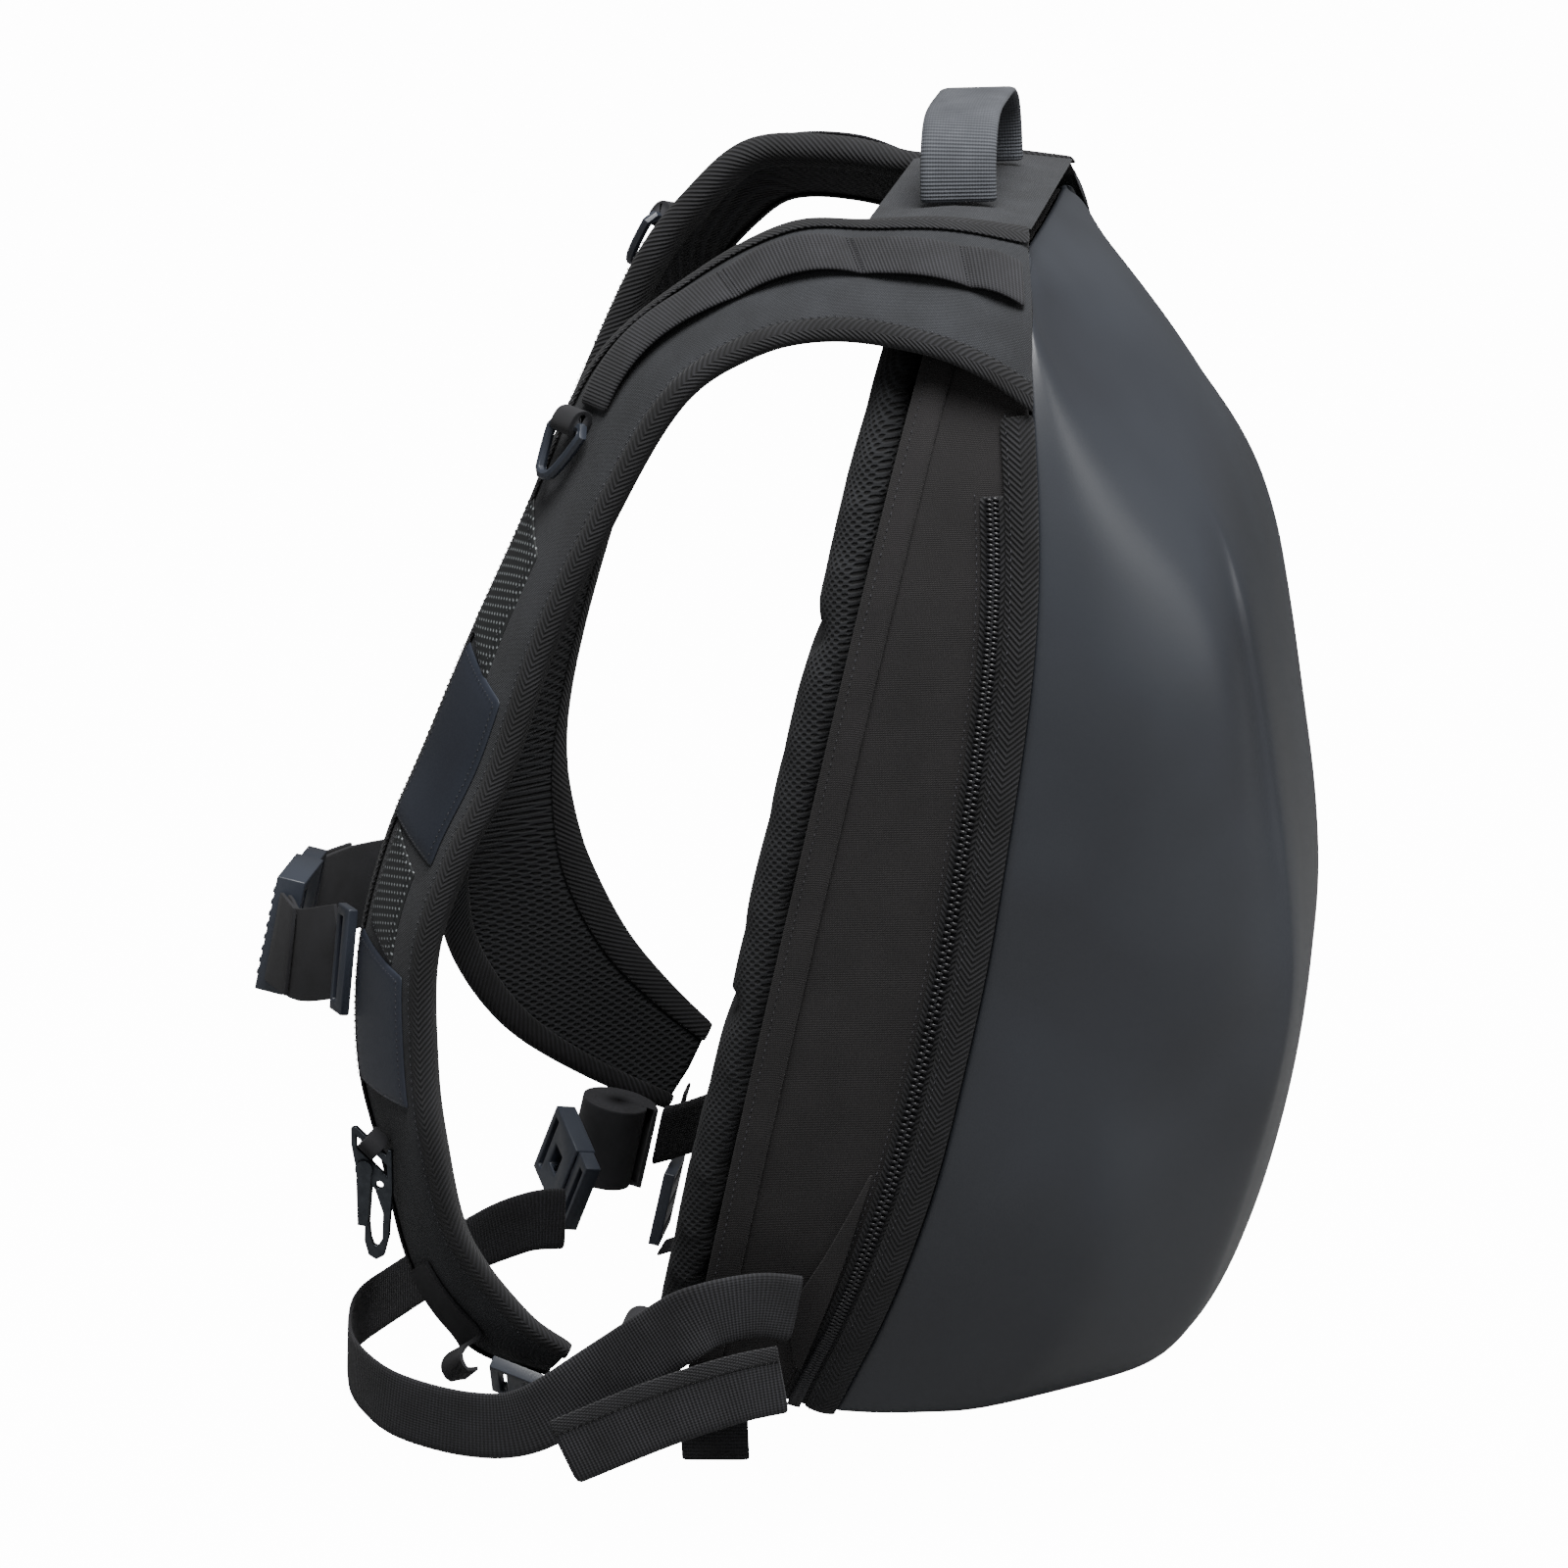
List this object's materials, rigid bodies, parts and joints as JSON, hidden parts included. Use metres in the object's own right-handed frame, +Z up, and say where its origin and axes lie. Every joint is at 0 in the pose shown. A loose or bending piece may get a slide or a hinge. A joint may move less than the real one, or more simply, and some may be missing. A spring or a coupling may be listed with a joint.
{
  "type": "hard shell backpack",
  "caption": "Backpack with a moulded hard shell front, zipped fabric body, padded S-curved shoulder straps with webbing, patches and D-rings, metal snap hook and webbing hip belt.",
  "frame": {"origin": "on the middle of the back panel's face, where it lies against the wearer's back", "axes": "+Z up, +Y towards the wearer, -Y towards the shell; the pack leans as in the picture"},
  "size_m": [0.3517, 0.4335, 0.5397],
  "materials": {
    "moulded_shell": "moulded plastic, fine pebble texture, satin",
    "twill_tape": "woven twill binding tape",
    "zip_coil": "nylon coil teeth",
    "body_fabric": "coated plain weave polyester",
    "pad_mesh": "air mesh over foam",
    "strap_nylon": "dense nylon over foam, bound edges",
    "webbing": "ribbed polyester webbing, bar-tacked",
    "leather_patch": "smooth synthetic leather, stitched edge",
    "reflective_print": "black overlay with rows of pale reflective dots",
    "buckle_plastic": "moulded acetal, satin",
    "hook_metal": "gunmetal finish on cast zinc"
  },
  "bodies": {
    "pack": {"back_panel": "pad_mesh", "belt_bundle": "webbing", "hanging_flap": "webbing", "harness_yoke": "strap_nylon", "haul_handle": "webbing", "hip_buckle_body": "buckle_plastic", "hip_buckle_tongue": "buckle_plastic", "hip_tail": "webbing", "hook_tab": "webbing", "left_belt_wing": "twill_tape", "left_daisy_webbing": "webbing", "left_foot_tab": "webbing", "left_hip_belt": "webbing", "left_ladder_lock": "buckle_plastic", "left_lower_patch": "leather_patch", "left_lower_reflector": "reflective_print", "left_lower_webbing": "webbing", "left_ring_loop": "webbing", "left_shoulder_strap": "strap_nylon", "left_sternum_slider": "buckle_plastic", "left_sternum_tail": "webbing", "left_sternum_webbing": "webbing", "left_upper_patch": "leather_patch", "left_upper_reflector": "reflective_print", "main_gusset": "body_fabric", "main_zip": "zip_coil", "rear_gusset": "body_fabric", "right_belt_wing": "twill_tape", "right_daisy_webbing": "webbing", "right_foot_webbing": "webbing", "right_hip_belt": "webbing", "right_ladder_lock": "buckle_plastic", "right_lower_patch": "leather_patch", "right_lower_reflector": "reflective_print", "right_lower_webbing": "webbing", "right_ring_loop": "webbing", "right_shoulder_strap": "strap_nylon", "right_sternum_slider": "buckle_plastic", "right_sternum_tail": "webbing", "right_sternum_webbing": "webbing", "right_upper_patch": "leather_patch", "right_upper_reflector": "reflective_print", "rim_binding": "twill_tape", "shell": "moulded_shell", "sternum_buckle_body": "buckle_plastic", "sternum_buckle_tongue": "buckle_plastic", "upright_loop": "webbing"},
    "hook": {"snap_hook": "hook_metal"},
    "gate": {"hook_gate": "hook_metal"},
    "left_ring": {"left_ring": "buckle_plastic"},
    "right_ring": {"right_ring": "buckle_plastic"}
  },
  "joints": [
    {"name": "hook_swing", "type": "hinge", "parent": "pack", "child": "hook", "pos_m": [-0.1128, 0.16403, -0.15002], "axis": [0, 0.7211, 0.6928], "range_deg": [0, 40]},
    {"name": "gate_press", "type": "hinge", "parent": "hook", "child": "gate", "pos_m": [-0.1128, 0.16703, -0.1595], "axis": [-1, 0, 0], "range_deg": [0, 14], "stiffness_Nm_per_rad": 0.02, "springref_deg": -11.46},
    {"name": "left_ring_swing", "type": "hinge", "parent": "pack", "child": "left_ring", "pos_m": [-0.09236, 0.08494, 0.14119], "axis": [0.8004, 0.5995, -0.002], "range_deg": [0, 80]},
    {"name": "right_ring_swing", "type": "hinge", "parent": "pack", "child": "right_ring", "pos_m": [0.09208, 0.07609, 0.19124], "axis": [0.9158, -0.3345, -0.2223], "range_deg": [0, 80]}
  ]
}
